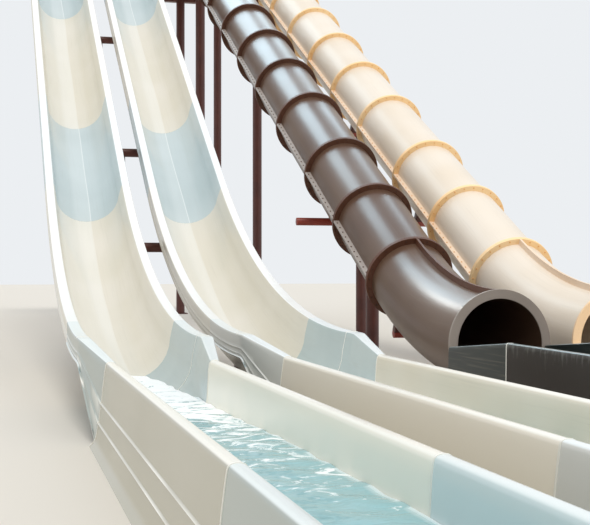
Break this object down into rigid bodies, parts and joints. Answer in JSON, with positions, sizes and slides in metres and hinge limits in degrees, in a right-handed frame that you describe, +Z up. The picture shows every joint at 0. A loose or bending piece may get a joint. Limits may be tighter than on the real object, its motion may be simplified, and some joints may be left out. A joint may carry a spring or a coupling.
{
  "type": "water slide tower",
  "caption": "Fairground water slide tower: open speed lanes and enclosed tube slides run down from a raised steel deck into long run-out troughs at ground level.",
  "frame": {"origin": "on the ground, in the middle of the footprint's bounding box", "axes": "+Y points up the slides, from the closed run-out ends to the deck, +X to the right of someone who looks up them, +Z up"},
  "size_m": [6.12, 34.83, 9.741],
  "materials": {
    "cream_gelcoat": "satin, weathered",
    "pale_blue_gelcoat": "satin, weathered",
    "blue_grey_gelcoat": "satin, weathered",
    "beige_gelcoat": "satin, weathered",
    "brown_gelcoat": "gloss",
    "warm_cream_gelcoat": "gloss",
    "dark_trough": "worn, streaked",
    "red_steel": "semi-gloss, weathered",
    "grey_steel": "semi-gloss",
    "decking": "worn, ribbed"
  },
  "bodies": {
    "root": {"lane_a_runout_1": "beige_gelcoat", "lane_a_runout_2": "blue_grey_gelcoat", "lane_a_runout_3": "beige_gelcoat", "lane_a_transition": "blue_grey_gelcoat", "lane_a_curve": "cream_gelcoat", "lane_a_drop_low": "pale_blue_gelcoat", "lane_a_drop_middle": "cream_gelcoat", "lane_a_drop_high": "pale_blue_gelcoat", "lane_a_crest": "cream_gelcoat", "lane_a_start_tub": "pale_blue_gelcoat", "lane_b_runout_1": "beige_gelcoat", "lane_b_runout_2": "blue_grey_gelcoat", "lane_b_runout_3": "beige_gelcoat", "lane_b_transition": "blue_grey_gelcoat", "lane_b_curve": "cream_gelcoat", "lane_b_drop_low": "pale_blue_gelcoat", "lane_b_drop_middle": "cream_gelcoat", "lane_b_drop_high": "pale_blue_gelcoat", "lane_b_crest": "cream_gelcoat", "lane_b_start_tub": "pale_blue_gelcoat", "brown_tube_curve_left": "brown_gelcoat", "brown_tube_curve_right": "brown_gelcoat", "brown_tube_low_upper": "brown_gelcoat", "brown_tube_low_lower": "brown_gelcoat", "brown_tube_high_upper": "brown_gelcoat", "brown_tube_high_lower": "brown_gelcoat", "brown_tube_crest": "brown_gelcoat", "brown_start_tub": "brown_gelcoat", "brown_exit_starter": "dark_trough", "brown_exit_1": "dark_trough", "brown_exit_2": "dark_trough", "cream_tube_curve_left": "warm_cream_gelcoat", "cream_tube_curve_right": "warm_cream_gelcoat", "cream_tube_low_upper": "warm_cream_gelcoat", "cream_tube_low_lower": "warm_cream_gelcoat", "cream_tube_high_upper": "warm_cream_gelcoat", "cream_tube_high_lower": "warm_cream_gelcoat", "cream_tube_crest": "warm_cream_gelcoat", "cream_start_tub": "warm_cream_gelcoat", "cream_exit_starter": "warm_cream_gelcoat", "cream_exit_1": "warm_cream_gelcoat", "cream_exit_2": "warm_cream_gelcoat", "lane_bent_1": "red_steel", "tube_bent_1": "red_steel", "lane_bent_2": "red_steel", "tube_bent_2": "red_steel", "lane_bent_3": "red_steel", "tube_bent_3": "red_steel", "lane_bent_4": "red_steel", "tube_bent_4": "red_steel", "lane_bent_5": "red_steel", "tube_bent_5": "red_steel", "tower_frame_front": "red_steel", "tower_frame_back": "red_steel", "deck_frame": "red_steel", "deck_floor": "decking", "rail_left": "grey_steel", "rail_right": "grey_steel", "rail_back_left": "grey_steel", "rail_back_right": "grey_steel"}
  },
  "joints": []
}
